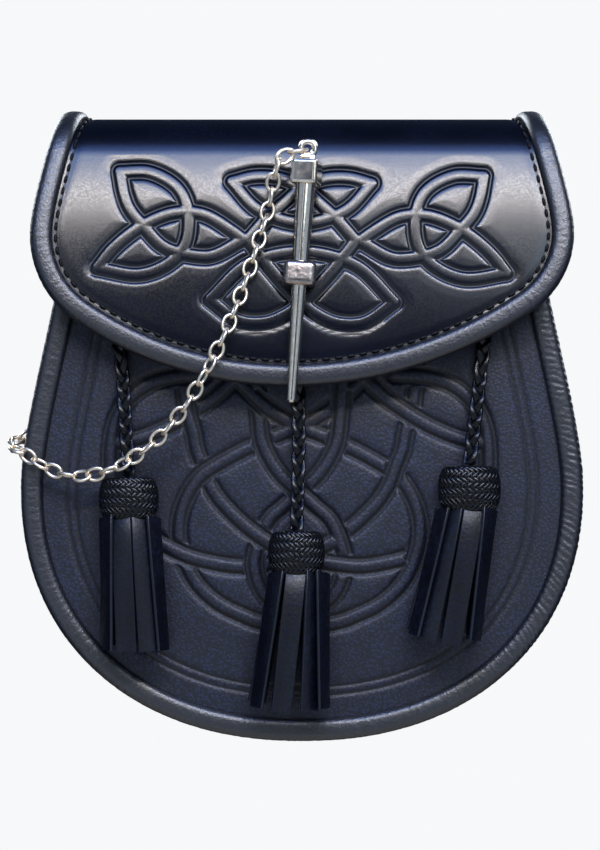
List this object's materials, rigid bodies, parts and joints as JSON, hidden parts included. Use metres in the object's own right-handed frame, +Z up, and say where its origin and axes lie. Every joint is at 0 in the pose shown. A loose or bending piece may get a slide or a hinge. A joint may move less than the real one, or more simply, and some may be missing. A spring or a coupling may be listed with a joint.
{
  "type": "leather belt pouch",
  "caption": "Round-bottomed black leather day pouch with a knotwork flap, a closing pin on a chain, three tassels and two belt loops.",
  "frame": {"origin": "on the line of the belt, midway between the two belt loops behind the back", "axes": "+X to the right seen from the front, -Y the front, +Z up"},
  "size_m": [0.1983, 0.0691, 0.2174],
  "materials": {
    "leather": "smooth black leather with a blue cast, pressed knotwork",
    "binding": "soft black leather, gathered on the curves",
    "thong": "braided and woven black leather lace",
    "fringe": "cut black leather strips",
    "nickel": "bright nickel plate, lightly worn"
  },
  "bodies": {
    "root": {"back_and_flap": "leather", "edge_binding": "binding", "front_panel": "leather", "front_binding": "binding", "gusset": "leather", "belt_loop_left": "leather", "belt_loop_right": "leather", "staple": "nickel", "closing_pin": "nickel", "chain_anchor": "nickel", "chain_link_01": "nickel", "chain_link_02": "nickel", "chain_link_03": "nickel", "chain_link_04": "nickel", "chain_link_05": "nickel", "chain_link_06": "nickel", "chain_link_07": "nickel", "chain_link_08": "nickel", "chain_link_09": "nickel", "chain_link_10": "nickel", "chain_link_11": "nickel", "chain_link_12": "nickel", "chain_link_13": "nickel", "chain_link_14": "nickel", "chain_link_15": "nickel", "chain_link_16": "nickel", "chain_link_17": "nickel", "chain_link_18": "nickel", "chain_link_19": "nickel", "chain_link_20": "nickel", "chain_link_21": "nickel", "chain_link_22": "nickel", "chain_link_23": "nickel", "chain_link_24": "nickel", "chain_link_25": "nickel", "chain_link_26": "nickel", "chain_link_27": "nickel", "chain_link_28": "nickel", "chain_link_29": "nickel", "chain_link_30": "nickel", "chain_link_31": "nickel", "chain_link_32": "nickel", "chain_link_33": "nickel", "chain_link_34": "nickel", "chain_link_35": "nickel", "chain_link_36": "nickel", "chain_link_37": "nickel", "chain_link_38": "nickel", "chain_link_39": "nickel", "tassel_cord_left": "thong", "tassel_knot_left": "thong", "tassel_fringe_left": "fringe", "tassel_cord_middle": "thong", "tassel_knot_middle": "thong", "tassel_fringe_middle": "fringe", "tassel_cord_right": "thong", "tassel_knot_right": "thong", "tassel_fringe_right": "fringe"}
  },
  "joints": []
}
